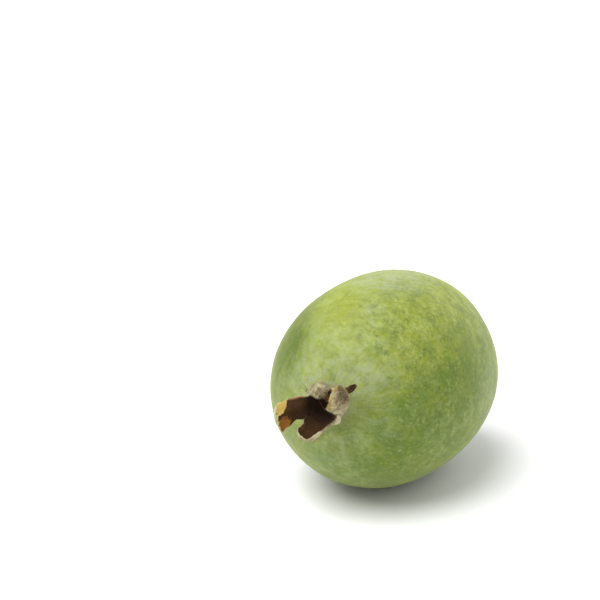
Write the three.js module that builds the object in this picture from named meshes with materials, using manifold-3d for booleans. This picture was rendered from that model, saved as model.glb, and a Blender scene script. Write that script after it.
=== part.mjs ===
// A feijoa (pineapple guava) lying on its side, in millimetres, +Z up.
//
// The berry is an oval with four faint lobes. Its calyx end points to -Y and is lifted a little, its
// stem end points to +Y, and it rests on a small flat. The dried flower parts stand on the calyx end:
// a short cup, four spoon-shaped sepals round its rim, two scraps of petal below the notches between
// them, and one stamen thread over the hollow.
//
// Two frames are used. In the fruit frame the axis is level along Y and +Z is the upper side. In the
// calyx frame +Z points out of the fruit along its axis and the origin is the fruit's calyx pole.

import * as THREE from "three";
import { mergeVertices } from "three/addons/utils/BufferGeometryUtils.js";
import Module from "manifold-3d";

const wasm = await Module();
wasm.setup();

// ---- driving dimensions ----------------------------------------------------------------------

const girthRadius = 23.8; // mean radius of the berry at its widest
const calyxReach = 31; // from the berry's middle to its calyx pole
const stemReach = 32; // from the berry's middle to its stem pole
const fullness = 2.15; // 2 is an ellipse, and more is blunter
const swell = 0.05; // how much fuller the calyx half is than the stem half
const lean = 7; // degrees that the calyx end is lifted
const flatDepth = 0.32; // how far the resting flat is pressed in
const calyxDimple = { depth: 1.6, radius: 2.6 };
const stemDimple = { depth: 1.1, radius: 4.5 };

// Lobes of the cross-section: so many round it, the share they add, and where the first one peaks,
// in degrees from +X towards the upper side.
const lobes = [
  { count: 2, share: 0.016, peak: 66 },
  { count: 3, share: 0.011, peak: 90 },
  { count: 4, share: 0.008, peak: 85 },
];

const clearance = 0.3; // gap between neighbouring pieces
const offset = { x: 0.33, y: 0.9 }; // of the calyx from the fruit's axis, in the calyx frame
const skirtRadius = 4.0; // foot of the calyx cup, on the skin
const neckRadius = 2.9; // outside of the cup at its narrowest
const rimRadius = 3.5; // middle of the cup's rim, where the sepals stand
const rimHeight = 2.8; // above the calyx pole
const cupWall = 0.9;
const cupFloor = 0.1; // height of the hollow's bottom above the calyx pole
const bulge = { at: -33, depth: 1.3, spread: 24 }; // the cup swells outwards on one side

// Each sepal stands at an angle round the rim and fills a span of it, all in degrees. The slopes of its
// midline at the root, the middle and the tip are measured so that 0 points straight out from the axis,
// 90 along it and 180 back over the hollow. The web is where the root narrows to the blade, as shares of
// the length, and the blade's width changes to the tip's beyond its middle. The bite hollows out one
// side: which side, where and how long in shares of the length, and how deep in shares of the width.
// The arc is how much shorter the blade is beside its longest line, and where that line lies. Cup is the
// half angle that the blade wraps round its midline. Sway and bow shift the tip and the middle sideways,
// anticlockwise as seen from outside, and twist turns the blade round its midline by the tip.
const sepals = [
  {
    name: "sepal_right", at: 18.9, span: 57, web: [0.16, 0.56], bite: [1, 0.26, 0.1, 0.03], arc: [0.07, 0],
    length: 11.8, width: 7.1, tip: 9.1, slopes: [-18, 81, 124], cup: 52, sway: 1.46, bow: 0.05, twist: 46,
  },
  {
    name: "sepal_upper", at: 100.8, span: 85, web: [0.06, 0.46], bite: [1, 0.29, 0.13, 0.01], arc: [0, 0.02],
    length: 7.7, width: 6.2, tip: 5.4, slopes: [11, 93, 173], cup: 70, sway: -2.28, bow: 0.26, twist: -25,
  },
  {
    name: "sepal_left", at: 182.5, span: 65, web: [0.04, 0.31], bite: [1, 0.3, 0.14, 0.29], arc: [0.02, 0],
    length: 9.4, width: 5.8, tip: 7.2, slopes: [60, 60, 111], cup: 15, sway: 1.94, bow: 0.12, twist: -15,
  },
  {
    name: "sepal_lower", at: 269, span: 94, web: [0.13, 0.4], bite: [-1, 0.3, 0.1, 0.13], arc: [0.02, 0],
    length: 7.4, width: 7.3, tip: 7.9, slopes: [54, 70, 118], cup: 66, sway: 0.06, bow: -0.12, twist: -10,
  },
];
const sepalThickness = 0.8;
const bluntness = 7; // of the sepals' tips: 2 is round, and more is squarer

// Dried scraps of petal: the angle each stands at round the cup, and the line it follows from there.
const rightScrapPath = [[4.2, 0, 2.3], [5.6, 0.3, 2.1], [7.2, 0, 1.5], [9, 0.1, 1.2]];
const leftScrapPath = [[4.2, 0, 2.3], [5, 0.1, 2.4], [6, 0.2, 2.2]];
const petalScraps = [
  { name: "petal_scrap_right", at: 40, width: 1.3, path: rightScrapPath },
  { name: "petal_scrap_left", at: 144, width: 0.8, path: leftScrapPath },
];
const scrapThickness = 0.5;

// The one stamen thread rises from the hollow's wall and bends across below the curled sepals.
const threadPath = [[-1.2, 0.1, 1.2], [-0.9, 1.2, 3], [-0.3, 1.87, 4.2], [1, -0.2, 3.8], [1.2, -0.5, 3.5]];
const threadRadius = 0.13;

const aroundFruit = 56;
const alongFruit = 42;
const aroundCup = 32;
const aroundSepal = 28;
const alongSepal = 22;

const radians = THREE.MathUtils.degToRad;

// ---- solids: joining and cutting -----------------------------------------------------------------

// A closed geometry as a solid that can be cut.
function solidOf(geometry) {
  const bare = geometry.clone();
  bare.deleteAttribute("normal");
  bare.deleteAttribute("uv");
  const merged = mergeVertices(bare, 1e-4);
  return new wasm.Manifold(
    new wasm.Mesh({
      numProp: 3,
      vertProperties: merged.attributes.position.array,
      triVerts: new Uint32Array(merged.index.array),
    }),
  );
}

function geometryOf(solid) {
  const mesh = solid.getMesh();
  const geometry = new THREE.BufferGeometry();
  geometry.setAttribute("position", new THREE.BufferAttribute(mesh.vertProperties, 3));
  geometry.setIndex(new THREE.BufferAttribute(mesh.triVerts, 1));
  geometry.computeVertexNormals();
  return geometry;
}

// Moves every vertex of a geometry to where place(point) puts it.
function reshape(geometry, place) {
  const position = geometry.attributes.position;
  const point = new THREE.Vector3();
  for (let i = 0; i < position.count; i++) {
    place(point.fromBufferAttribute(position, i), i);
    position.setXYZ(i, point.x, point.y, point.z);
  }
  geometry.computeVertexNormals();
  return geometry;
}

// ---- the berry -----------------------------------------------------------------------------------

// Where the skin lies in the fruit frame along a direction from the middle, with a skin so much thicker.
// The radius is a superellipse of the angle from the axis, times the lobes round it. The calyx half is
// widened by the swell, and both poles are pressed in by a dimple.
function skinPoint(direction, thicker = 0) {
  const along = -direction.y; // 1 at the calyx pole, -1 at the stem pole
  const across = Math.hypot(direction.x, direction.z);
  const turn = Math.atan2(direction.z, direction.x);
  const reach = (along > 0 ? calyxReach : stemReach) + thicker;
  const girth = girthRadius + thicker;
  const oval = ((Math.abs(along) / reach) ** fullness + (across / girth) ** fullness) ** (-1 / fullness);
  let lobed = 1;
  for (const { count, share, peak } of lobes) {
    lobed += share * across ** 2 * Math.cos(count * (turn - radians(peak)));
  }
  const radius = oval * lobed * across * (1 + swell * along);
  const dimple = along > 0 ? calyxDimple : stemDimple;
  const pressed = Math.sign(along) * dimple.depth * Math.exp(-((radius / dimple.radius) ** 2));
  const axial = oval * lobed * along - pressed;
  direction.set(radius * Math.cos(turn), -axial, radius * Math.sin(turn));
}

function berryGeometry(thicker) {
  const ball = new THREE.SphereGeometry(1, aroundFruit, alongFruit);
  return reshape(ball, (point) => skinPoint(point.normalize(), thicker));
}

// The berry with its resting flat cut, and how high its middle then stands above the surface.
function makeBerry() {
  const skin = berryGeometry(0);
  const leaning = skin.clone().rotateX(-radians(lean));
  leaning.computeBoundingBox();
  const height = -leaning.boundingBox.min.z - flatDepth;
  const side = 4 * girthRadius;
  const table = new THREE.BoxGeometry(side, side, side);
  table.translate(0, 0, -height - side / 2);
  table.rotateX(radians(lean));
  return { geometry: geometryOf(solidOf(skin).subtract(solidOf(table))), height };
}

// ---- the calyx -----------------------------------------------------------------------------------

// The cup: a neck that flares down onto the skin and up to the rim, with a round-bottomed hollow. Its
// outside swells at the bulge, and its underside is cut by the berry grown by the clearance.
function cupGeometry() {
  const outline = new THREE.Path();
  outline.moveTo(0, -2);
  outline.lineTo(skirtRadius, -2);
  outline.lineTo(skirtRadius, -0.2);
  outline.quadraticCurveTo(neckRadius + 0.2, 0.4, neckRadius, 1.4);
  outline.quadraticCurveTo(neckRadius, 2.2, rimRadius + cupWall / 2, rimHeight);
  const outsidePoints = outline.getPoints(5).length;
  outline.lineTo(rimRadius - cupWall / 2, rimHeight);
  outline.quadraticCurveTo(rimRadius - cupWall, cupFloor, 0, cupFloor);
  const profile = outline.getPoints(5);
  const cup = reshape(new THREE.LatheGeometry(profile, aroundCup).rotateX(Math.PI / 2), (point, i) => {
    if (i % profile.length < outsidePoints) {
      swellCup(point);
    }
  });
  const grown = berryGeometry(clearance);
  grown.rotateX(-Math.PI / 2);
  grown.translate(-offset.x, -offset.y, -calyxReach);
  return geometryOf(solidOf(cup).subtract(solidOf(grown)));
}

// Moves a point of the cup's outside away from the axis, most at the bulge and halfway up.
function swellCup(point) {
  const radius = Math.hypot(point.x, point.y);
  if (radius < neckRadius / 2) {
    return;
  }
  const turn = THREE.MathUtils.radToDeg(Math.atan2(point.y, point.x));
  const rising = THREE.MathUtils.smoothstep(point.z, -0.5, 1.2);
  const falling = 1 - 0.6 * THREE.MathUtils.smoothstep(point.z, 2.2, 3.1);
  const added = bulge.depth * Math.exp(-(((turn - bulge.at) / bulge.spread) ** 2)) * rising * falling;
  point.x *= 1 + added / radius;
  point.y *= 1 + added / radius;
}

// The slope of a sepal's midline: a smooth curve through its three slopes.
function slopeAt(slopes, along) {
  const [root, middle, tip] = slopes.map(radians);
  const ends = root * (1 - along) * (1 - 2 * along) + tip * along * (2 * along - 1);
  return ends + 4 * middle * along * (1 - along);
}

// How far out and how far up the midline has come, by adding up short steps along its turning slope.
function midline(sepal, along) {
  const steps = 60;
  const step = (along * sepal.length) / steps;
  let out = 0;
  let rise = 0;
  for (let i = 0; i < steps; i++) {
    const slope = slopeAt(sepal.slopes, (along * (i + 0.5)) / steps);
    out += step * Math.cos(slope);
    rise += step * Math.sin(slope);
  }
  return { out, rise, slope: slopeAt(sepal.slopes, along) };
}

// Half the width of a sepal at a share of its length, on the side that across points to.
function halfWidth(sepal, along, across, out) {
  const { smoothstep, lerp } = THREE.MathUtils;
  const rootHalf = (rimRadius + Math.max(out, 0)) * radians(sepal.span / 2);
  const blade = lerp(sepal.width, sepal.tip, smoothstep(along, 0.45, 1)) / 2;
  const [side, where, long, deep] = sepal.bite;
  const bitten = deep * Math.exp(-(((along - where) / long) ** 2)) * smoothstep(side * across, 0, 0.5);
  return lerp(rootHalf, blade, smoothstep(along, ...sepal.web)) * (1 - bitten);
}

// A point of a sepal that stands on the +X side of the rim. Along runs from 0 at the root to 1 at the
// tip, across from -1 to 1 round the blade's cupped section, and through from -1 outside to 1 inside. At
// the root the section follows the rim, and a third of the way up it has turned square to the midline.
function sepalPoint(sepal, along, across, through) {
  const { smoothstep, lerp } = THREE.MathUtils;
  const [arc, longest] = sepal.arc;
  const reached = along * (1 - arc * (across - longest) ** 2 * smoothstep(along, 0.3, 1));
  const { out, rise, slope } = midline(sepal, reached);
  const settled = smoothstep(along, 0, 0.35);
  const facing = lerp(Math.PI / 2, slope, settled);
  const rounded = Math.sqrt(1 - along ** bluntness);
  const half = halfWidth(sepal, along, across, out) * rounded + 0.12;
  const wrap = lerp(radians(sepal.span / 2), radians(sepal.cup), settled);
  const section = half / wrap;
  const lift = (through * sepalThickness * (1 - 0.45 * along) * (0.35 + 0.65 * rounded)) / 2;
  const inward = section * (1 - Math.cos(wrap * across)) + lift;
  const blade = new THREE.Vector2((section - lift) * Math.sin(wrap * across), inward);
  blade.rotateAround(new THREE.Vector2(), radians(sepal.twist) * along);
  const sideways = blade.x + sepal.sway * along + 4 * sepal.bow * along * (1 - along);
  const r = rimRadius + out - blade.y * Math.sin(facing);
  const z = rimHeight + clearance + rise + blade.y * Math.cos(facing);
  return new THREE.Vector3(r, sideways, z);
}

// A closed cylinder whose height becomes the sepal's length and whose round section becomes its blade.
function sepalGeometry(sepal) {
  const rod = new THREE.CylinderGeometry(1, 1, 1, aroundSepal, alongSepal);
  return reshape(rod, (point) => {
    const along = Math.sin(((point.y + 0.5) * Math.PI) / 2);
    point.copy(sepalPoint(sepal, along, point.x, -point.z));
  });
}

// A strip with a section of the given half width and half thickness, carried along a curve.
function stripGeometry(points, halfWidth, halfThickness, sides, steps) {
  const section = new THREE.Shape();
  section.absellipse(0, 0, halfWidth, halfThickness, 0, 2 * Math.PI);
  return new THREE.ExtrudeGeometry(section, {
    steps,
    curveSegments: sides,
    bevelEnabled: false,
    extrudePath: new THREE.CatmullRomCurve3(points),
  });
}

function vectors(path) {
  return path.map((place) => new THREE.Vector3(...place));
}

// ---- materials -----------------------------------------------------------------------------------

const skinGreen = new THREE.MeshStandardMaterial({ color: 0x8da353, roughness: 0.5, metalness: 0 });
const driedBrown = new THREE.MeshStandardMaterial({ color: 0x9b8368, roughness: 0.95, metalness: 0 });
const threadBrown = new THREE.MeshStandardMaterial({ color: 0x5c4030, roughness: 0.9, metalness: 0 });

function named(name, geometry, material) {
  const mesh = new THREE.Mesh(geometry, material);
  mesh.name = name;
  return mesh;
}

// ---- assembly ------------------------------------------------------------------------------------

const berry = makeBerry();

const calyx = new THREE.Group();
calyx.rotation.x = Math.PI / 2;
calyx.position.set(offset.x, -calyxReach, offset.y);
calyx.add(named("calyx_cup", cupGeometry(), driedBrown));
for (const sepal of sepals) {
  const blade = named(sepal.name, sepalGeometry(sepal), driedBrown);
  blade.rotation.z = radians(sepal.at);
  calyx.add(blade);
}
for (const scrap of petalScraps) {
  const shape = stripGeometry(vectors(scrap.path), scrapThickness / 2, scrap.width / 2, 8, 8);
  const strip = named(scrap.name, shape, threadBrown);
  strip.rotation.z = radians(scrap.at);
  calyx.add(strip);
}
const thread = stripGeometry(vectors(threadPath), threadRadius, threadRadius, 6, 16);
calyx.add(named("stamen_thread", thread, threadBrown));

const leaning = new THREE.Group();
leaning.rotation.x = -radians(lean);
leaning.position.z = berry.height;
leaning.add(named("fruit", berry.geometry, skinGreen), calyx);

// The origin is under the middle of the whole object, on the surface that it rests on.
const feijoa = new THREE.Group();
feijoa.add(leaning);
const extent = new THREE.Box3().setFromObject(feijoa, true);
const middle = extent.getCenter(new THREE.Vector3());
feijoa.position.set(-middle.x, -middle.y, 0);

export default feijoa;
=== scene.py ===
import math
import bpy
import numpy as np
from mathutils import Matrix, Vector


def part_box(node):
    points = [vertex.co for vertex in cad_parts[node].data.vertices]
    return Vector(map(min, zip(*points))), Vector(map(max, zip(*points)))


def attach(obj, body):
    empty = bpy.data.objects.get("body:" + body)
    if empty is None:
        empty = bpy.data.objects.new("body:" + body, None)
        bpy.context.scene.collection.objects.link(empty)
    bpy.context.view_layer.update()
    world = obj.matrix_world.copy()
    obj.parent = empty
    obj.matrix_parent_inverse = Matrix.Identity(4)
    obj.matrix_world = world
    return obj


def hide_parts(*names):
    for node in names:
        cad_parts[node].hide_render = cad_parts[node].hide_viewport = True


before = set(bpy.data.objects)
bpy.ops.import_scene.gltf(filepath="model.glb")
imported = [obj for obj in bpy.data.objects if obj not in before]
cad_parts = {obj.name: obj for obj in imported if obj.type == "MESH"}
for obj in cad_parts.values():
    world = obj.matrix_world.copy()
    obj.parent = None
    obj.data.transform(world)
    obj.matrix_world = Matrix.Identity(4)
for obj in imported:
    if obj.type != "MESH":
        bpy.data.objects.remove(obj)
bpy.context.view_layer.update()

# A feijoa lying on its side. Objects are in metres, and shapes are worked out in millimetres in two frames.
# In the fruit frame the axis is level along Y with the calyx at -Y, and +Z is the upper side. In the calyx
# frame +Z points out of the fruit along its axis, +Y is the upper side, and the origin is the calyx pole.

milli = 0.001
lean = math.radians(7)  # how far the calyx end is lifted
noiseRepeat = 32  # cubes after which the noise starts again


def smooth(value, low, high):
    # 0 below low, 1 above high, and 3t^2 - 2t^3 between them
    t = np.clip((value - low) / (high - low), 0, 1)
    return t * t * (3 - 2 * t)


def bell(value):
    # exp(-value^2): 1 at 0, and almost nothing past 2 on either side
    return np.exp(-(value**2))


def mix(a, b, share):
    return a + (b - a) * share


def stack(*parts):
    return np.stack(np.broadcast_arrays(*parts), -1)


def unit(vectors):
    return vectors / np.maximum(np.linalg.norm(vectors, axis=-1, keepdims=True), 1e-9)


def roundAngles(count):
    # evenly spaced angles once round, as one row
    return np.linspace(0, 2 * math.pi, count, endpoint=False)[None, :]


def noise(points, size, seed):
    # random heights at the corners of cubes of this size, blended across each cube by 6t^5 - 15t^4 + 10t^3
    heights = np.random.default_rng(seed).uniform(-1, 1, (noiseRepeat,) * 3)
    at = np.asarray(points) / size
    cube = np.floor(at).astype(int)
    t = at - cube
    t = t * t * t * (t * (t * 6 - 15) + 10)
    total = 0
    for corner in range(8):
        step = np.array([corner & 1, corner >> 1 & 1, corner >> 2 & 1])
        weight = np.prod(np.where(step, t, 1 - t), axis=-1)
        i, j, k = np.moveaxis((cube + step) % noiseRepeat, -1, 0)
        total = total + weight * heights[i, j, k]
    return total


def roughNoise(points, size, seed):
    # three layers of noise, each half as large and half as strong as the one before
    return sum(noise(points, size / 2**i, seed + i) / 2**i for i in range(3))


def turned(points, degrees):
    # turned about Z
    x, y, z = np.moveaxis(points, -1, 0)
    c, s = math.cos(math.radians(degrees)), math.sin(math.radians(degrees))
    return stack(x * c - y * s, x * s + y * c, z)


def toFruitFrame(points):
    # from the calyx frame: out along the axis is -Y, and the calyx stands a little off the fruit's axis
    x, y, z = np.moveaxis(points, -1, 0)
    return stack(x + calyx["offset"][0], -berry["calyxReach"] - z, y + calyx["offset"][1])


def lifted(points):
    # from the fruit frame, still in millimetres: the calyx end is lifted about X
    x, y, z = np.moveaxis(points, -1, 0)
    c, s = math.cos(lean), math.sin(lean)
    return stack(x, y * c + z * s, z * c - y * s)


def pointsAt(where, stations, path):
    # the points of a path, read between its stations
    return np.stack([np.interp(where, stations, column) for column in path.T], -1)


def smoothLine(path, steps, passes):
    # a line through the points given. To round it off, each pass gives every point but the ends half of
    # itself and a quarter of each neighbour
    path = np.array(path, float)
    line = pointsAt(np.linspace(0, len(path) - 1, steps), np.arange(len(path)), path)
    for _ in range(passes):
        line[1:-1] = (line[:-2] + 2 * line[1:-1] + line[2:]) / 4
    return line


def gridFaces(rows, columns, blade):
    # squares between neighbouring rows of a grid whose rows are closed loops. Each end loop is closed by a
    # fan round its middle point or, in a blade, by a strip of squares from its one face to its other
    j = np.arange(columns)
    k = (j + 1) % columns
    row = columns * np.arange(rows - 1)[:, None]
    quads = np.stack([row + j, row + k, row + columns + k, row + columns + j], -1).reshape(-1, 4)
    last = columns * (rows - 1)
    if blade:
        half = columns // 2
        i = np.arange(1, half - 1)
        strip = np.stack([i + 1, i, columns - i, columns - i - 1], -1)
        tips = np.array([[1, 0, columns - 1], [half, half - 1, half + 1]])
        ends = [strip, tips, last + strip[:, ::-1], last + tips[:, ::-1]]
    else:
        middle = 0 * j + rows * columns
        ends = [np.stack([middle, k, j], -1), np.stack([middle + 1, last + j, last + k], -1)]
    return [face for part in (quads, *ends) for face in part.tolist()]


def hairFaces(count):
    # each hair is a three-sided spike of 7 points: three at its foot, three at its middle and its tip
    spike = np.array([
        (0, 2, 1), (0, 1, 4), (0, 4, 3), (1, 2, 5), (1, 5, 4),
        (2, 0, 3), (2, 3, 5), (3, 4, 6), (4, 5, 6), (5, 3, 6),
    ])
    return (spike[None] + 7 * np.arange(count)[:, None, None]).reshape(-1, 3)


def closedMesh(name, rings, attributes=None, hairs=None, blade=False):
    # rings is rows x columns x 3, each row a closed loop, and an attribute has a value for each point of it.
    # hairs is count x 7 x 3
    rows, columns = rings.shape[:2]

    def withMiddles(values):
        flat = values.reshape(rows * columns, -1)
        return flat if blade else np.vstack([flat, flat[:columns].mean(0), flat[-columns:].mean(0)])

    points = withMiddles(rings)
    faces = gridFaces(rows, columns, blade)
    extra = 0
    if hairs is not None:
        faces = faces + (hairFaces(len(hairs)) + len(points)).tolist()
        points = np.vstack([points, hairs.reshape(-1, 3)])
        extra = len(hairs) * hairs.shape[1]
    mesh = bpy.data.meshes.new(name)
    mesh.from_pydata(points * milli, [], faces)
    for key, values in (attributes or {}).items():
        kind, field = ("FLOAT_VECTOR", "vector") if values.ndim == 3 else ("FLOAT", "value")
        flat = withMiddles(values)
        flat = np.vstack([flat, np.zeros((extra, flat.shape[1]))])
        mesh.attributes.new(key, kind, "POINT").data.foreach_set(field, flat.ravel())
    if extra:
        onHair = np.concatenate([np.zeros(len(points) - extra), np.ones(extra)])
        mesh.attributes.new("hair", "FLOAT", "POINT").data.foreach_set("value", onHair)
    mesh.shade_smooth()
    made = bpy.data.objects.new(name, mesh)
    bpy.context.scene.collection.objects.link(made)
    return made


def addPiece(made, material, node):
    # nothing on the fruit moves by itself, and each piece stands for one CAD part
    made.data.materials.append(material)
    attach(made, "root")
    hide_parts(node)


berry = {
    "girth": 23.8, "calyxReach": 31.0, "stemReach": 32.0,
    "fullness": 2.15,  # 2 is an ellipse, and more is blunter
    "swell": 0.05,  # how much fuller the calyx half is
    "lobes": [(2, 0.016, 66), (3, 0.011, 90), (4, 0.008, 85)],  # count, share, first peak in degrees
    "dimples": {"calyx": (1.6, 2.6), "stem": (1.1, 4.5)},  # depth, radius
    "relief": [(0.16, 13, 3), (0.06, 5, 4), (0.014, 1.5, 5)],  # height, size and seed of dents
    "ridges": (0.08, 5, 6),  # the same, but drawn out along the grain
    "wrinkles": {"height": 0.012, "atCalyx": 0.045, "atStem": 0.04, "size": 1.5, "seed": 7},
    "scarRadius": 2.3, "scarRagged": 0.25, "corkWidth": 0.45, "corkHeight": 0.4, "padDepth": 0.25,
    "skinPerRadian": 27,  # about how long the skin is, in mm, for each radian from the calyx pole
    "around": 384, "along": 248,
    "crowding": 0.08,  # how much closer together the rows stand near the ends
}

skinAreas = {  # round areas of skin: where, how wide in mm, and how much
    "bare": [  # the wax is thin, and the fresh skin shows
        ((-1, -21, 20), 5.5, 1.0), ((20, -9, 9.5), 9, 0.9), ((16, -21, -5), 7, 0.5),
        ((14, -25, 4), 5, 0.9), ((12, -24, -12), 5, 0.8), ((10, -18, -17), 5, 0.4),
    ],
    "thick": [  # the wax is thicker
        ((4, -19, 20), 4, 0.4), ((9, -27, 8), 4, 0.3), ((-2, -27, -13), 6, 0.25),
        ((6, -18, -20), 6, 0.15), ((3, -29, -7), 3.5, 0.35),
    ],
    "shadowSpots": [  # painted shade: spots darkened as though in shadow, on the -X side and beside the calyx
        ((-13, -24, 11), 7, 0.9), ((8.5, -29, 0.5), 3.2, 0.5), ((-9, -27, -8), 5, 0.45),
    ],
    "golden": [((-1, -21, 20), 5.477, 0.7)],  # the skin is yellower
}


def berrySurface(polar, turn, relief):
    # rho = ((|cos|/reach)^n + (sin/girth)^n)^(-1/n) of the angle from the calyx end, times 1 + the lobes,
    # plus the relief. The radius, rho * sin, swells by a share of cos, so most towards the calyx, and a bell
    # of the dimple's depth and radius is taken off rho * cos at each end
    axial, across = np.cos(polar), np.sin(polar)
    reach = np.where(axial > 0, berry["calyxReach"], berry["stemReach"])
    n = berry["fullness"]
    rho = ((np.abs(axial) / reach) ** n + (across / berry["girth"]) ** n) ** (-1 / n)
    lobes = sum(s * across**2 * np.cos(c * (turn - math.radians(p))) for c, s, p in berry["lobes"])
    rho = rho * (1 + lobes) + relief
    radius = rho * across * (1 + berry["swell"] * axial)
    calyxDepth, calyxWide = berry["dimples"]["calyx"]
    stemDepth, stemWide = berry["dimples"]["stem"]
    out = rho * axial
    out = out - (axial > 0) * calyxDepth * bell(radius / calyxWide)
    out = out + (axial < 0) * stemDepth * bell(radius / stemWide)
    return stack(radius * np.cos(turn), -out, radius * np.sin(turn))


def skinRelief(plain, grain, nearCalyx, nearStem):
    # dents and swellings of three sizes, low ridges, and wrinkles that deepen towards both ends
    relief = sum(height * noise(plain, size, seed) for height, size, seed in berry["relief"])
    height, size, seed = berry["ridges"]
    relief = relief + height * noise(grain, size, seed)
    fine = berry["wrinkles"]
    height = fine["height"] + fine["atCalyx"] * nearCalyx + fine["atStem"] * nearStem
    return relief + height * roughNoise(grain, fine["size"], fine["seed"])


def stemScar(plain, polar, turn):
    # the cork ring, the sunken pad in it, their roughness, and where the skin gives way to cork
    r = np.hypot(plain[..., 0], plain[..., 2])
    stemEnd = (polar > 2) * 1.0
    ragged = noise(stack(2 * np.cos(turn), 2 * np.sin(turn), 0 * polar), 1, 8)
    edge = berry["scarRadius"] + berry["scarRagged"] * ragged
    ring = stemEnd * bell((r - edge) / berry["corkWidth"])
    pad = stemEnd * (1 - smooth(r, 0, edge))
    rough = stemEnd * 0.12 * roughNoise(plain, 0.9, 9) * (1 - smooth(r, 2.4, 3.4))
    return ring, pad, rough, np.clip(stemEnd * (1 - smooth(r, 2.2, 3.0)), 0, 1)


def areaShare(points, areas):
    # each area adds share * exp(-(distance / width)^2)
    return sum(share * np.exp(-((points - at) ** 2).sum(-1) / wide**2) for at, wide, share in areas)


def skinShares(plain, fromCalyx, turn):
    # how sunny, waxy, shaded, fresh and veined the skin is at each point, for its paint. Its shade is
    # painted shade, which darkens the colour as though the skin lay in shadow
    x, y, z = np.moveaxis(plain, -1, 0)
    bare, thick, shadowSpots, golden = (
        areaShare(plain, skinAreas[key]) for key in ("bare", "thick", "shadowSpots", "golden")
    )
    # the side that faced the sun is yellower: high up, a little towards -X and the calyx, but it fades again
    # far round on the -X side, together with the painted shade there
    sunny = smooth(z / 20 - x / 40 - y / 60, -0.35, 0.95) * (1 - 0.9 * smooth(-x, 7, 19)) + golden
    # pale wax lies thickest round the crown, and a little down the -X side. The pale bands along the top and
    # down the +X side are painted sheen: a pale rim of reflected light, painted into the colour as wax
    crown = bell(fromCalyx / 13) * (0.46 + 0.44 * np.cos(turn - 1.8))
    leftSide = 0.15 * smooth(-x, 2, 16)
    top = 0.9 * smooth(z, 21.5, 24.5)
    rightSheen = 0.6 * smooth(x + 0.2 * y, 22, 24.8)
    return {
        "sunny": sunny,
        "wax": np.clip(crown + thick + leftSide + top + rightSheen, 0, 1),
        # painted shade: the -X side, the shadow spots and the underside darkened as though in shadow
        "shade": np.clip(smooth(-x, 7, 18) + shadowSpots + 0.3 * smooth(-z, 13, 22), 0, 1.4),
        "fresh": np.clip(bare, 0, 1),
        # dark veins show most away from the crown, on the +X side
        "veined": 0.15 + 0.85 * smooth(x, -3, 8) * smooth(fromCalyx, 9, 17),
        # mm from the calyx's axis, and out of its reach on the stem half
        "fromCalyx": np.hypot(x - calyx["offset"][0], z - calyx["offset"][1]) + 40 * (y > 0),
    }


def buildBerry():
    t = np.linspace(0, 1, berry["along"] + 2)[1:-1, None]
    polar = math.pi * (t - berry["crowding"] * np.sin(2 * math.pi * t))
    turn = roundAngles(berry["around"])
    plain = berrySurface(polar, turn, 0)
    fromCalyx = polar * berry["skinPerRadian"]
    fromStem = (math.pi - polar) * berry["skinPerRadian"]
    # grain runs lengthwise: a step round the fruit counts in full, a step along it a seventh
    grain = stack(12 * np.cos(turn), 12 * np.sin(turn), fromCalyx / 7)
    relief = skinRelief(plain, grain, 1 - smooth(fromCalyx, 5, 20), 1 - smooth(fromStem, 4, 16))
    ring, pad, rough, scar = stemScar(plain, polar, turn)
    relief = relief + berry["corkHeight"] * ring - berry["padDepth"] * pad + rough
    points = lifted(berrySurface(polar, turn, relief))
    # the shape without relief is centred on the fruit's CAD box and level with its top, and what would go
    # below the ground is pressed flat on it
    low, high = (np.array(corner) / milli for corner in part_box("fruit"))
    level = lifted(plain)
    shift = (low + high) / 2 - (level.max((0, 1)) + level.min((0, 1))) / 2
    shift[2] = high[2] - level[..., 2].max()
    points = points + shift
    points[..., 2] = np.maximum(points[..., 2], 0)
    made = closedMesh("berry", points, {
        "grain": grain, **skinShares(plain, fromCalyx, turn), "scar": scar, "scarRing": np.clip(ring, 0, 1),
    })
    return made, shift


calyx = {
    "offset": (0.33, 0.9),  # from the fruit's axis to the calyx's
    "skirt": 4.0, "neck": 2.9, "rim": 3.5, "rimHeight": 3.1, "wall": 0.8, "floor": 0.1,
    "bulge": {"at": -33, "height": 1.3, "width": 0.42},  # degrees round the cup, mm, radians
    "around": 160, "along": 150,
}

felt = {
    "hairLength": 0.42, "hairThick": 0.012, "sepalHairs": 3800, "cupHairs": 3500,
    "tangle": 0.5,  # how far hairs lean out of the surface's own direction
}

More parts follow.
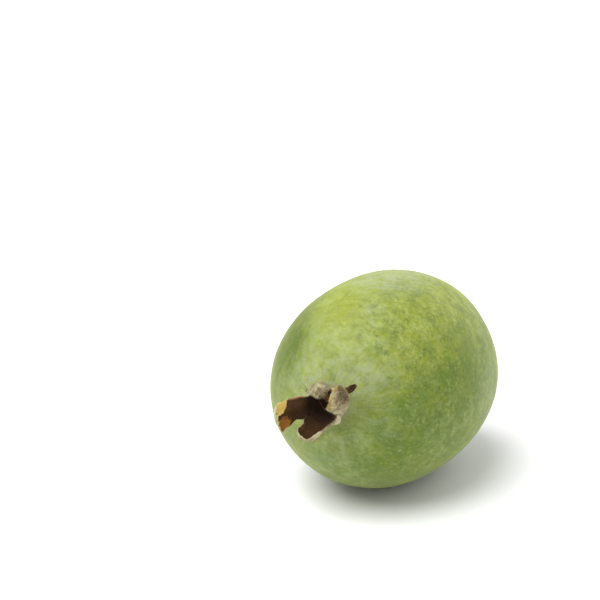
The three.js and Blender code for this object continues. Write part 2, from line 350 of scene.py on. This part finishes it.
# A sepal stands "at" an angle round the rim, and its root takes up "span" degrees of it. Between the two
# shares of its length in "web", the root's width turns into the blade's. "bite" is a nick in one edge: which
# side, where, how long and how deep. "arc" lets the tip's corners fall back from its middle, and a higher
# "blunt" makes the tip squarer. "slope" is the midline's, in degrees, at its root, middle and tip: 0 points
# straight out from the axis, 90 along it, 180 back over the hollow. "cup" is half the angle that the blade
# wraps round its midline, "twist" is its turn at the tip, and "sway" and "bow" move its tip and its middle
# sideways.
sepals = {
    "right": {
        "at": 18.9, "span": 57, "web": (0.16, 0.56), "bite": (1, 0.26, 0.1, 0.03), "arc": (0.07, -0.07),
        "length": 11.8, "width": 7.1, "tip": 9.1, "slope": (-28, 83, 124), "cup": 52,
        "sway": 1.46, "bow": 0.05, "twist": 46, "blunt": 7.5, "seed": 21,
    },
    "upper": {
        "at": 100.8, "span": 91, "web": (0.06, 0.46), "bite": (1, 0.29, 0.13, 0.01), "arc": (0.0, 0.02),
        "length": 7.7, "width": 6.2, "tip": 5.4, "slope": (11, 93, 173), "cup": 70,
        "sway": -2.28, "bow": 0.26, "twist": -25, "blunt": 7.0, "seed": 22,
    },
    "left": {
        "at": 182.5, "span": 70, "web": (0.04, 0.31), "bite": (1, 0.3, 0.14, 0.29), "arc": (0.02, 0),
        "length": 9.4, "width": 5.8, "tip": 7.2, "slope": (60, 60, 111), "cup": 15,
        "sway": 1.94, "bow": 0.12, "twist": -15, "blunt": 7.7, "seed": 23,
    },
    "lower": {
        "at": 269.0, "span": 102, "web": (0.13, 0.4), "bite": (-1, 0.3, 0.1, 0.13), "arc": (0.02, 0),
        "length": 7.4, "width": 7.3, "tip": 7.9, "slope": (54, 70, 118), "cup": 66,
        "sway": 0.06, "bow": -0.12, "twist": -10, "blunt": 6.3, "seed": 24,
    },
}

sepalBlade = {"thick": 0.8, "thinning": 0.45, "rootSunk": 0.5, "around": 144, "along": 110}


def growHairs(rings, share, count, seed):
    # hairs stand on the surface where share is high; each leans a random way and bends over further up
    rng = np.random.default_rng(seed)
    a, b = np.roll(rings, -1, 1)[:-1], rings[1:]
    root = rings[:-1]
    normal = np.cross(a - root, b - root)
    area = np.linalg.norm(normal, axis=-1)
    normal = normal / np.maximum(area, 1e-9)[..., None]
    weight = (area * share[:-1]).ravel()
    pick = rng.choice(len(weight), count, p=weight / weight.sum())
    u, v = rng.random((2, count, 1))
    root, a, b, out = (part.reshape(-1, 3)[pick] for part in (root, a, b, normal))
    foot = root + u * (a - root) + v * (b - root)
    drift = rng.normal(size=(count, 3))
    bend = drift + 0.8 * rng.normal(size=(count, 3))
    half = felt["hairLength"] * rng.uniform(0.5, 1.3, (count, 1)) * 0.5
    middle = foot + half * unit(out + felt["tangle"] * drift)
    tip = middle + half * unit(out * 0.5 + felt["tangle"] * bend)
    side = unit(np.cross(out, drift))
    other = np.cross(out, side)
    turn = np.radians([0, 120, 240])[:, None, None]
    ring = felt["hairThick"] * (np.cos(turn) * side + np.sin(turn) * other)
    low = foot - 0.05 * out + ring  # starts just below the surface
    return np.concatenate([low, middle + 0.6 * ring, tip[None]]).transpose(1, 0, 2)


def midline(form, along):
    # how far out and how far up the midline has come, the sums of cos and sin of its slope over short steps.
    # The slope is the parabola through those at its root, middle and tip
    fine = np.linspace(0, 1, 200)
    root, middle, tip = (math.radians(s) for s in form["slope"])

    def slopeAt(s):
        return root * (1 - s) * (1 - 2 * s) + 4 * middle * s * (1 - s) + tip * s * (2 * s - 1)

    steps = slopeAt((fine[1:] + fine[:-1]) / 2)
    out, rise = (
        np.concatenate([[0], np.cumsum(part(steps))]) * form["length"] / len(steps)
        for part in (np.cos, np.sin)
    )
    return np.interp(along, fine, out), np.interp(along, fine, rise), slopeAt(along)


def halfWidth(form, along, across, out, rootWrap, rounded):
    # the root's half width turns into the blade's, the tip is rounded, and the edges are ragged and nicked
    rootHalf = (calyx["rim"] + np.maximum(out, 0)) * rootWrap
    wide = mix(form["width"], form["tip"], smooth(along, 0.45, 1))
    half = mix(rootHalf, wide / 2, smooth(along, *form["web"])) * rounded + 0.03
    edge = roughNoise(stack(along * form["length"], np.sign(across) * 3, 0), 1.4, form["seed"])
    half = half * (1 + 0.06 * edge * smooth(along, 0.2, 0.5))
    side, where, long, deep = form["bite"]
    return half * (1 - deep * bell((along - where) / long) * smooth(side * across, 0, 0.5))


def crumpled(form, along, across, through, half):
    # lengthwise veins and two sizes of crumple, which start above the root
    blade = stack(along * form["length"], half * across, through * 0.4)
    veins = 0.07 * noise(blade * [0.3, 1.6, 1], 1, form["seed"] + 10)
    crumple = 0.22 * noise(blade, 3.2, form["seed"] + 20) + 0.09 * noise(blade, 1.3, form["seed"] + 30)
    return (veins + crumple) * smooth(along, 0.05, 0.3)


def sepalSurface(form, along, across, through):
    # across its midline the blade is an arc: inward = R * (1 - cos) and sideways = R * sin of wrap * across,
    # with R = half width / wrap. It follows the rim at the root and stands square to the midline from a third
    # of the way up. A point is moved inward by through * thickness / 2: through is 1 on the inner face and -1
    # on the outer
    arc, middle = form["arc"]
    out, rise, slope = midline(form, along * (1 - arc * (across - middle) ** 2 * smooth(along, 0.3, 1)))
    settled = smooth(along, 0, 0.35)
    facing = mix(math.pi / 2, slope, settled)
    rootWrap = math.radians(form["span"] / 2)
    wrap = mix(rootWrap, math.radians(form["cup"]), settled)
    rounded = np.sqrt(np.clip(1 - along ** form["blunt"], 0, 1))
    half = halfWidth(form, along, across, out, rootWrap, rounded)
    section = half / wrap
    thick = sepalBlade["thick"] * (1 - sepalBlade["thinning"] * along) * (0.35 + 0.65 * rounded)
    lift = crumpled(form, along, across, through, half) + through * thick / 2
    inward = section * (1 - np.cos(wrap * across)) + lift
    sideways = (section - lift) * np.sin(wrap * across)
    twist = math.radians(form["twist"]) * along
    inward, sideways = (
        inward * np.cos(twist) - sideways * np.sin(twist),
        inward * np.sin(twist) + sideways * np.cos(twist),
    )
    sideways = sideways + form["sway"] * along + form["bow"] * 4 * along * (1 - along)
    sunk = sepalBlade["rootSunk"] * (1 - smooth(along, 0, 0.08))
    r = calyx["rim"] + out - inward * np.sin(facing)
    z = calyx["rimHeight"] + rise + inward * np.cos(facing) - sunk
    return turned(stack(r, sideways, z), form["at"])


def buildSepal(name, form, shift):
    t = np.linspace(0, 1, sepalBlade["along"])[:, None]
    along = np.sin(t * math.pi / 2)
    ring = roundAngles(sepalBlade["around"])
    # once round the blade: an oval whose faces are flattened and whose edges are rounded
    across = np.sign(np.cos(ring)) * np.abs(np.cos(ring)) ** 0.9
    through = np.sign(np.sin(ring)) * np.abs(np.sin(ring)) ** 0.55
    points = lifted(toFruitFrame(sepalSurface(form, along, across, through))) + shift
    inside = smooth(through, -0.35, 0.35) + 0 * along
    felted = (1 - inside) * smooth(along, 0.0, 0.1)
    hairs = growHairs(points, felted, felt["sepalHairs"], form["seed"])
    return closedMesh("felted_sepal_" + name, points, {
        "inside": inside,
        "along": along + 0 * ring,
        "across": across + 0 * along,
        "leaf": stack(along * form["length"], across * form["width"] / 2, through * 0.4 + 0 * along),
    }, hairs, True)


def cupProfile():
    # out from the axis below the skin, up the outside, over the rim and down to the floor
    rim, wall, top, skirt, neck = (calyx[key] for key in ("rim", "wall", "rimHeight", "skirt", "neck"))
    stations = [
        (skirt + 0.1, -1.3), (skirt, -0.6), (mix(neck, skirt, 0.55), 0.0), (mix(neck, skirt, 0.15), 0.7),
        (neck, 1.4), (neck + 0.1, 2.0), (rim + wall * 0.35, top - 0.8), (rim + wall * 0.4, top - 0.35),
        (rim, top - 0.15), (rim - wall * 0.45, top), (rim - wall * 0.55, top - 0.4),
        (2.5, 1.7), (2.05, 0.9), (1.5, 0.35), (0.7, calyx["floor"]),
    ]
    reached = np.linspace(0, len(stations) - 1, calyx["along"])[:, None]
    return smoothLine(stations, calyx["along"], 6), reached


def buildCup(shift):
    # the profile's radius and height, carried round the axis. It bulges on one side, and its outer face is
    # uneven
    profile, reached = cupProfile()
    turn = roundAngles(calyx["around"])
    r, z = profile[:, :1], profile[:, 1:]
    about = stack(3 * np.cos(turn), 3 * np.sin(turn), z / 2.5)
    outer = smooth(reached, 0, 4) * (1 - smooth(reached, 6, 8))
    bulge = calyx["bulge"]
    away = np.mod(turn - math.radians(bulge["at"]) + math.pi, 2 * math.pi) - math.pi
    waist = smooth(z, -0.5, 1.2) * (1 - 0.6 * smooth(z, 2.2, 3.1))
    r = r + bulge["height"] * bell(away / bulge["width"]) * outer * waist
    r = r + 0.18 * noise(about, 1.6, 31) * outer
    r = r + 0.06 * roughNoise(stack(3 * np.cos(turn), 3 * np.sin(turn), z), 0.8, 32)
    points = lifted(toFruitFrame(stack(r * np.cos(turn), r * np.sin(turn), z + 0 * turn))) + shift
    inside = smooth(reached, 7.0, 7.8) + 0 * turn
    felted = (1 - inside) * smooth(z, -0.8, 0.2) * (1 - smooth(z, 2.2, 2.8))
    hairs = growHairs(points, felted, felt["cupHairs"], 33)
    # depth is painted shade, which darkens the inner wall the further down in the cup it lies
    return closedMesh("felted_cup", points, {
        "inside": inside, "along": 0 * inside, "across": 0 * inside,
        "leaf": about, "depth": mix(0.2, 0.9, smooth(-z, -3.1, -1)) * inside,
    }, hairs)


class Paint:
    # the nodes of one material. A value may be a number or another node's output, and the methods from add to
    # bump return outputs
    def __init__(self, name):
        self.material = bpy.data.materials.new(name)
        self.material.use_nodes = True
        self.tree = self.material.node_tree
        self.shader = self.tree.nodes["Principled BSDF"]

    def give(self, socket, value):
        if isinstance(value, bpy.types.NodeSocket):
            self.tree.links.new(value, socket)
        else:
            socket.default_value = value

    def add(self, kind, values, output=0, **settings):
        made = self.tree.nodes.new(kind)
        for key, value in settings.items():
            setattr(made, key, value)
        for key, value in values.items():
            self.give(made.inputs[key], value)
        return made.outputs[output]

    def attribute(self, name, output="Fac"):
        return self.add("ShaderNodeAttribute", {}, output, attribute_name=name)

    def millimetres(self):
        place = self.add("ShaderNodeTexCoord", {}, "Object")
        return self.add("ShaderNodeVectorMath", {0: place, "Scale": 1000}, operation="SCALE")

    def grains(self, place, size, detail=2, roughness=0.5):
        # cloudy noise; sizes here and below are in mm
        return self.add("ShaderNodeTexNoise", {
            "Vector": place, "Scale": 1 / size, "Detail": detail, "Roughness": roughness,
        })

    def cells(self, place, size, feature="F1"):
        return self.add("ShaderNodeTexVoronoi", {"Vector": place, "Scale": 1 / size}, feature=feature)

    def step(self, value, low, high, to=(0, 1)):
        return self.add("ShaderNodeMapRange", {
            "Value": value, "From Min": low, "From Max": high, "To Min": to[0], "To Max": to[1],
        }, interpolation_type="SMOOTHSTEP")

    def patches(self, place, size, low, high, to=(0, 1), detail=2, roughness=0.5):
        # grains of this size, which turn from one value to the other between low and high
        return self.step(self.grains(place, size, detail, roughness), low, high, to)

    def threads(self, place, size, strength, detail, roughness):
        # thin lines where grains of this size pass their middle value
        fromMiddle = self.maths("SUBTRACT", self.grains(place, size, detail, roughness), 0.5)
        return self.step(self.maths("ABSOLUTE", fromMiddle), 0.0, 0.045, (strength, 0))

    def maths(self, operation, a, b=0.0):
        return self.add("ShaderNodeMath", {0: a, 1: b}, operation=operation)

    def times(self, a, b):
        return self.maths("MULTIPLY", a, b)

    def blend(self, share, a, b):
        a, b = (c if isinstance(c, bpy.types.NodeSocket) else (*c, 1) for c in (a, b))
        return self.add("ShaderNodeMix", {0: share, 6: a, 7: b}, 2, data_type="RGBA")

    def bump(self, height, distance, strength, under=None):
        values = {"Height": height, "Distance": distance * milli, "Strength": strength}
        if under:
            values["Normal"] = under
        return self.add("ShaderNodeBump", values)

    def finish(self, **sockets):
        for key, value in sockets.items():
            self.give(self.shader.inputs[key.replace("_", " ")], value)
        return self.material


skinTones = {  # reflected red, green and blue, 0 to 1
    "deep": (0.082, 0.142, 0.0), "sunny": (0.19, 0.225, 0.0), "wax": (0.275, 0.315, 0.215),
    "film": (0.170, 0.234, 0.045), "sunnyFilm": (0.234, 0.28, 0.035), "pale": (0.28, 0.335, 0.09),
    "dark": (0.052, 0.09, 0.0), "vein": (0.075, 0.12, 0.0),
    "felt": (0.25, 0.24, 0.15), "tan": (0.19, 0.155, 0.055),
    "corkDark": (0.11, 0.065, 0.03), "corkPale": (0.30, 0.21, 0.11), "corkRim": (0.38, 0.31, 0.18),
}


def paintGreens(p, place, fresh):
    tone = skinTones
    sunny, shade, veined = (p.attribute(key) for key in ("sunny", "shade", "veined"))
    clouds = p.patches(place, 5, 0.36, 0.64, (-0.32, 0.32), 3, 0.6)
    green = p.blend(p.maths("ADD", sunny, clouds), tone["deep"], tone["sunny"])
    # dark green shows between the waxy patches in branching lines
    dark = p.patches(place, 1.15, 0.5, 0.64, (0, 1), 4, 0.7)
    green = p.blend(p.times(dark, p.step(veined, 0, 1, (0.3, 0.5))), green, tone["dark"])
    dark = p.patches(place, 3.0, 0.49, 0.6, (0, 1), 5, 0.62)
    green = p.blend(p.times(dark, p.step(veined, 0, 1, (0.15, 0.55))), green, tone["dark"])
    # a thin film of wax in patches, and broken up finely within them
    film = p.patches(place, 3.1, 0.46, 0.565, (0, 1), 4, 0.55)
    film = p.times(film, p.step(fresh, 0, 1, (1, 0.2)))
    # thinner film under the painted shade
    film = p.times(film, p.step(shade, 0, 1, (1, 0.65)))
    film = p.times(film, p.patches(place, 6.5, 0.38, 0.6, (0.45, 1.15)))
    film = p.times(film, p.patches(place, 1.1, 0.36, 0.62, (0.4, 1), 4, 0.66))
    green = p.blend(film, green, p.blend(p.step(sunny, 0, 0.7), tone["film"], tone["sunnyFilm"]))
    green = p.blend(p.times(p.threads(place, 3.6, 0.4, 3, 0.6), veined), green, tone["vein"])
    # on the sunny side soft pale threads wander between them
    thread = p.times(p.threads(place, 4.4, 0.36, 3, 0.58), p.step(sunny, 0.3, 0.8))
    green = p.blend(p.times(thread, p.patches(place, 5, 0.4, 0.6)), green, tone["pale"])
    # the wax attribute is real wax and also the painted sheen along the top and down the +X side
    waxy = p.times(p.attribute("wax"), p.patches(place, 2.0, 0.34, 0.66, (0.15, 0.85), 5, 0.65))
    return p.blend(waxy, green, tone["wax"])


def paintSpots(p, place, green, fresh):
    tone = skinTones
    # round pale spots over the oil glands, some stronger than others
    spots = p.step(p.cells(place, 1.05, "SMOOTH_F1"), 0.05, 0.42, (1, 0))
    green = p.blend(p.times(spots, p.patches(place, 1.9, 0.44, 0.6, (0, 0.52))), green, tone["pale"])
    flecks = p.grains(place, 0.9, 4, 0.7)
    darkFlecks = p.times(p.step(flecks, 0.39, 0.5, (0.26, 0)), p.attribute("veined"))
    green = p.blend(darkFlecks, green, tone["dark"])
    paleFlecks = p.times(p.step(flecks, 0.5, 0.61, (0, 0.2)), p.step(fresh, 0, 1, (1, 0.3)))
    green = p.blend(paleFlecks, green, tone["pale"])
    small = p.times(p.step(p.cells(place, 0.62), 0.1, 0.34, (0.4, 0)), p.patches(place, 1.7, 0.45, 0.6))
    green = p.blend(small, green, tone["dark"])
    grit = p.times(p.patches(place, 0.3, 0.38, 0.64, (0, 0.15), 2, 0.7), p.step(fresh, 0, 1, (1, 0.4)))
    green = p.blend(grit, green, tone["wax"])
    # painted shade: the dark tone mixed in where the shade attribute is high, mottled so the texture shows
    shaded = p.times(p.attribute("shade"), p.patches(place, 2.2, 0.4, 0.6, (0.62, 0.92), 4, 0.62))
    return p.blend(shaded, green, tone["dark"])


def paintEnds(p, place, green):
    # waxy streaks and dry tan ones run out from the calyx, felt rings its foot, and the stem's scar is cork
    tone = skinTones
    grain = p.attribute("grain", "Vector")
    fromCalyx = p.attribute("fromCalyx")
    streaks = p.patches(grain, 0.9, 0.44, 0.66, (0, 1), 4, 0.75)
    streaks = p.times(streaks, p.patches(place, 2.4, 0.35, 0.6, (0, 1), 3))
    green = p.blend(p.times(streaks, p.step(fromCalyx, 4, 24, (0.36, 0))), green, tone["wax"])
    dry = p.patches(grain, 0.7, 0.54, 0.66, (0, 1), 4, 0.75)
    green = p.blend(p.times(dry, p.step(fromCalyx, 4, 15, (0.5, 0))), green, tone["tan"])
    felted = p.patches(grain, 0.5, 0.3, 0.6, (0.3, 0.9), 2, 0.6)
    green = p.blend(p.times(p.step(fromCalyx, 3.6, 5.4, (1, 0)), felted), green, tone["felt"])
    cork = p.blend(p.patches(place, 0.5, 0.4, 0.65, (0, 1), 3, 0.7), tone["corkDark"], tone["corkPale"])
    green = p.blend(p.attribute("scar"), green, cork)
    return p.blend(p.times(p.attribute("scarRing"), 0.6), green, tone["corkRim"])


def paintSkin():
    p = Paint("feijoaSkin")
    place = p.millimetres()
    fresh = p.attribute("fresh")
    green = paintEnds(p, place, paintSpots(p, place, paintGreens(p, place, fresh), fresh))
    pebbles = p.bump(p.cells(place, 0.8, "SMOOTH_F1"), 0.035, 0.6)
    return p.finish(
        Base_Color=green, Normal=p.bump(p.grains(place, 0.3, 3, 0.6), 0.02, 0.5, pebbles), Roughness=0.6,
        Subsurface_Weight=0.06, Subsurface_Radius=(0.0025, 0.003, 0.0008), Subsurface_Scale=0.5,
        Specular_IOR_Level=0.22, Sheen_Weight=0.3, Sheen_Roughness=0.5, Sheen_Tint=(0.87, 0.92, 0.42, 1),
    )


# hollow is painted shade: the darkest brown, laid towards the sepals' roots and down in the cup
calyxTones = {
    "feltPale": (0.53, 0.505, 0.305), "feltMid": (0.28, 0.235, 0.135), "feltBrown": (0.08, 0.046, 0.025),
    "feltRust": (0.17, 0.09, 0.05), "hair": (0.45, 0.41, 0.23), "rimPale": (0.55, 0.57, 0.27),
    "inner": (0.036, 0.0175, 0.0062), "innerPale": (0.068, 0.036, 0.0145), "hollow": (0.028, 0.017, 0.011),
    "gold": (0.60, 0.42, 0.12), "ochre": (0.25, 0.105, 0.02), "margin": (0.22, 0.125, 0.06),
    "dull": (0.31, 0.22, 0.06),
}


def paintCalyx(name, inner=(), outer=()):
    # patches on the inner and the outer face, each a tone and an ellipse in mm along and across the blade
    # from the middle of its root: (tone, along, across, half length, half width, softness of its edge)
    p = Paint(name)
    tone = calyxTones
    place = p.millimetres()
    leaf = p.attribute("leaf", "Vector")
    inside, along, across = (p.attribute(key) for key in ("inside", "along", "across"))
    fine = p.grains(place, 0.3, 3, 0.65)
    mottle = p.grains(place, 1.3, 3, 0.6)

    def patch(under, colour, a, b, long, wide, softness, ragged):
        away = p.add("ShaderNodeVectorMath", {0: leaf, 1: (a, b, 0)}, operation="SUBTRACT")
        away = p.add("ShaderNodeVectorMath", {0: away, 1: (1 / long, 1 / wide, 0)}, operation="MULTIPLY")
        far = p.add("ShaderNodeVectorMath", {0: away}, "Value", operation="LENGTH")
        far = p.maths("ADD", far, p.patches(place, 0.9, 0.2, 0.8, (-ragged, ragged), 3, 0.65))
        share = p.step(far, 1 - softness, 1 + softness, (1, 0))
        if softness > 0.3:  # worn felt is mottled
            share = p.times(share, p.patches(place, 0.8, 0.36, 0.6, (0.5, 1), 3, 0.65))
        return p.blend(share, under, tone[colour])

    pale = p.blend(p.step(mottle, 0.38, 0.56), tone["feltMid"], tone["feltPale"])
    pale = p.blend(p.step(fine, 0.3, 0.7, (0.35, 0)), pale, tone["feltBrown"])
    for colour, *where in outer:
        pale = patch(pale, colour, *where, 0.5)
    # the inside is brown, with painted shade (the hollow tone) making it darker towards the root and down
    # in the cup, and worn patches of its margin
    dark = p.blend(p.patches(leaf, 0.7, 0.4, 0.72, (0, 1), 3, 0.65), tone["inner"], tone["innerPale"])
    dark = p.blend(p.step(along, 0, 0.5, (0.75, 0)), dark, tone["hollow"])
    dark = p.blend(p.attribute("depth"), dark, tone["hollow"])
    edge = p.maths("MAXIMUM", p.step(p.maths("ABSOLUTE", across), 0.86, 1.0), p.step(along, 0.93, 1.0))
    edge = p.times(edge, p.step(along, 0.2, 0.4))
    dark = p.blend(p.times(edge, p.step(mottle, 0.4, 0.6, (0.1, 0.9))), dark, tone["margin"])
    for colour, *where in inner:
        dark = patch(dark, colour, *where, 0.2)
    both = p.blend(inside, pale, dark)
    both = p.blend(p.times(p.attribute("hair"), 0.5), both, tone["hair"])
    height = p.maths("ADD", fine, mottle)
    return p.finish(
        Base_Color=both, Normal=p.bump(height, 0.06, 0.8), Roughness=0.85, Specular_IOR_Level=0.06,
    )


def paintDry(name, low, high):
    p = Paint(name)
    place = p.millimetres()
    return p.finish(
        Base_Color=p.blend(p.patches(place, 0.4, 0.35, 0.65, (0, 1), 3, 0.65), low, high),
        Normal=p.bump(p.grains(place, 0.2), 0.04, 0.8), Roughness=0.9, Specular_IOR_Level=0.12,
    )


scraps = {  # paths run from the calyx outwards, before they are turned to the place they stand at
    "petal_scrap_right": {
        "at": 40, "path": [(3.6, 0, 2.3), (5.4, 0.3, 2.1), (7.2, 0, 1.5), (9.0, 0.1, 1.2)],
        "width": 1.4, "thick": 0.5, "fork": 0.3, "tone": "dark", "seed": 41,
    },
    "petal_scrap_left": {
        "at": 144, "path": [(3.6, 0, 2.3), (4.5, 0.1, 2.4), (5.4, 0.2, 2.2)],
        "width": 0.9, "thick": 0.4, "fork": 0.1, "tone": "pale", "seed": 42,
    },
    "stamen_thread": {
        "at": 0,
        "path": [(-1.2, 0.1, 1.2), (-0.9, 1.2, 3.0), (-0.3, 1.87, 4.2), (0.98, -0.17, 3.8), (1.2, -0.5, 3.5)],
        "width": 0.2, "thick": 0.2, "fork": 0, "tone": "dark", "seed": 43,
    },
}


def buildScrap(name, form, shift):
    # an oval, half * cos wide and deep * sin thick, carried along a line, with a rounded end. It wobbles and
    # curls, and a fork stops its middle short of its sides
    steps = 70
    t = np.linspace(0, 1, steps)[:, None]
    ring = roundAngles(28)
    line = smoothLine(form["path"], steps, 12)
    ahead = unit(np.gradient(line, axis=0))
    side = unit(np.cross(ahead, [0, 0, 1]) + [0, 0, 1e-4])
    other = np.cross(ahead, side)
    across, through = np.cos(ring), np.sin(ring)
    reached = t * (1 - form["fork"] * bell(across / 0.4) * smooth(t, 0.5, 1))
    middle, sideways, upward = (pointsAt(reached, t[:, 0], part) for part in (line, side, other))
    rounded = np.sqrt(np.clip(1 - t**8, 0, 1))
    half = form["width"] / 2 * (0.55 + 0.45 * smooth(t, 0.1, 0.6)) * rounded + 0.01
    deep = form["thick"] / 2 * rounded + 0.01
    place = middle + 0.3 * across[..., None] * sideways
    wobble = 1 + 0.3 * noise(place, 0.6, form["seed"])
    curl = 0.25 * form["width"] * noise(place, 1.2, form["seed"] + 5) * across
    points = middle + (half * across * wobble)[..., None] * sideways
    points = points + (deep * through * wobble + curl)[..., None] * upward
    return closedMesh("dried_" + name, lifted(toFruitFrame(turned(points, form["at"]))) + shift)


made, fruitShift = buildBerry()
addPiece(made, paintSkin(), "fruit")
print("berry done")

cupPaint = paintCalyx("driedCup", [
    ("margin", 2.9, 0.6, 1.2, 1.6, 0.5), ("margin", -0.7, 2.9, 1.9, 1.2, 0.5),
])
sepalPaints = {
    "right": paintCalyx("driedSepalRight", [("gold", 10.5, 2.5, 1.4, 1.5, 0.05)], [
        ("feltRust", 7.6, 1.5, 2.7, 2.5, 0.6), ("feltBrown", 7.6, 1.7, 1.6, 1.6, 0.6),
        ("dull", 12.0, 0.6, 1.35, 3.3, 0.28), ("dull", 10.2, 3.9, 1.1, 0.8, 0.28),
    ]),
    "upper": paintCalyx("driedSepalUpper", [], [
        ("feltBrown", 8.0, -2.4, 2.6, 3.0, 0.6), ("feltBrown", 0.7, -2.8, 1.8, 1.0, 0.4),
    ]),
    "left": paintCalyx("driedSepalLeft", [
        ("innerPale", 4.3, -1.6, 3.0, 1.5, 0.5), ("margin", 3.2, -3.1, 2.6, 0.5, 0.05),
        ("gold", 6.9, -2.5, 1.7, 2.1, 0.05), ("ochre", 7.1, 2.3, 2.7, 2.0, 0.15),
        ("rimPale", 9.9, -1.5, 1.75, 5.0, 0.05),
    ]),
    "lower": paintCalyx("driedSepalLower", [("inner", 3.5, 0.5, 3.5, 3.0, 0.6)], [
        ("feltBrown", 0.8, 3.4, 1.2, 0.8, 0.6), ("feltMid", 7.3, 0.3, 0.6, 3.4, 0.5),
    ]),
}
addPiece(buildCup(fruitShift), cupPaint, "calyx_cup")
for name, form in sepals.items():
    addPiece(buildSepal(name, form, fruitShift), sepalPaints[name], "sepal_" + name)
print("calyx done")

dryPaints = {
    "dark": paintDry("driedScrap", (0.026, 0.012, 0.006), (0.075, 0.038, 0.018)),
    "pale": paintDry("palerScrap", (0.07, 0.042, 0.022), (0.2, 0.13, 0.075)),
}
for name, form in scraps.items():
    addPiece(buildScrap(name, form, fruitShift), dryPaints[form["tone"]], name)
print("scraps done")

floorHalf = 6  # metres
floorCorners = [(-1, -1), (1, -1), (1, 1), (-1, 1)]
floorMesh = bpy.data.meshes.new("floor")
floorMesh.from_pydata([(x * floorHalf, y * floorHalf, 0) for x, y in floorCorners], [], [(0, 1, 2, 3)])
floor = bpy.data.objects.new("floor", floorMesh)
bpy.context.scene.collection.objects.link(floor)
floorPaint = Paint("paleFloor")
floorMesh.materials.append(
    floorPaint.finish(Base_Color=(0.88, 0.88, 0.88, 1), Roughness=0.7, Specular_IOR_Level=0.2)
)

# degrees and mm: aside and above are where the berry's middle stands from the middle of the view
view = {"azimuth": 27.3, "elevation": 19.9, "distance": 511, "aside": 19.9, "above": -17.5, "lens": 135}

lamps = {  # degrees, metres and watts
    "key": {"azimuth": -38, "elevation": 64, "size": 1.0, "power": 13},
    "fill": {"azimuth": 150, "elevation": 30, "size": 0.8, "power": 1.6},
}
lampDistance = 0.9
lampAim = [0, 0, 0.02]  # the point that the lamps face


def directions(azimuth, elevation):
    # right, up and back of something that looks at the fruit from there
    a, e = math.radians(azimuth), math.radians(elevation)
    right = np.array([math.cos(a), math.sin(a), 0])
    back = np.array([math.sin(a) * math.cos(e), -math.cos(a) * math.cos(e), math.sin(e)])
    return right, np.cross(back, right), back


def frameAt(point, right, up, back):
    # the placing of something that stands at a point and has these as its X, Y and Z
    axes = np.stack([right, up, back], 1)
    return Matrix([(*row, point[i]) for i, row in enumerate(axes)] + [(0, 0, 0, 1)])


def softLight(name, form):
    lamp = bpy.data.lights.new(name, "AREA")
    lamp.shape = "DISK"
    lamp.size = form["size"]
    lamp.energy = form["power"]
    light = bpy.data.objects.new(name, lamp)
    bpy.context.scene.collection.objects.link(light)
    right, up, back = directions(form["azimuth"], form["elevation"])
    light.matrix_world = frameAt(back * lampDistance + lampAim, right, up, back)


right, up, back = directions(view["azimuth"], view["elevation"])
where = fruitShift - view["aside"] * right - view["above"] * up + view["distance"] * back
camera = bpy.data.objects.new("camera", bpy.data.cameras.new("camera"))
camera.data.lens = view["lens"]
camera.data.sensor_width = 36
camera.data.clip_start = 0.01
camera.data.clip_end = 50
camera.matrix_world = frameAt(where * milli, right, up, back)
bpy.context.scene.collection.objects.link(camera)
bpy.context.scene.camera = camera

for name, form in lamps.items():
    softLight(name, form)

# an even pale surround, a little dimmer near the horizon so that it meets the far floor without an edge
world = bpy.data.worlds.new("world")
world.use_nodes = True
worldNodes, worldLinks = world.node_tree.nodes, world.node_tree.links
direction = worldNodes.new("ShaderNodeSeparateXYZ")
brightness = worldNodes.new("ShaderNodeMapRange")
brightness.interpolation_type = "SMOOTHSTEP"
brightness.inputs["From Max"].default_value = 0.4
brightness.inputs["To Min"].default_value = 0.89
worldLinks.new(worldNodes.new("ShaderNodeTexCoord").outputs["Generated"], direction.inputs[0])
worldLinks.new(direction.outputs["Z"], brightness.inputs["Value"])
worldLinks.new(brightness.outputs[0], worldNodes["Background"].inputs["Color"])
worldNodes["Background"].inputs["Strength"].default_value = 0.7
bpy.context.scene.world = world
bpy.context.scene.view_settings.view_transform = "Standard"
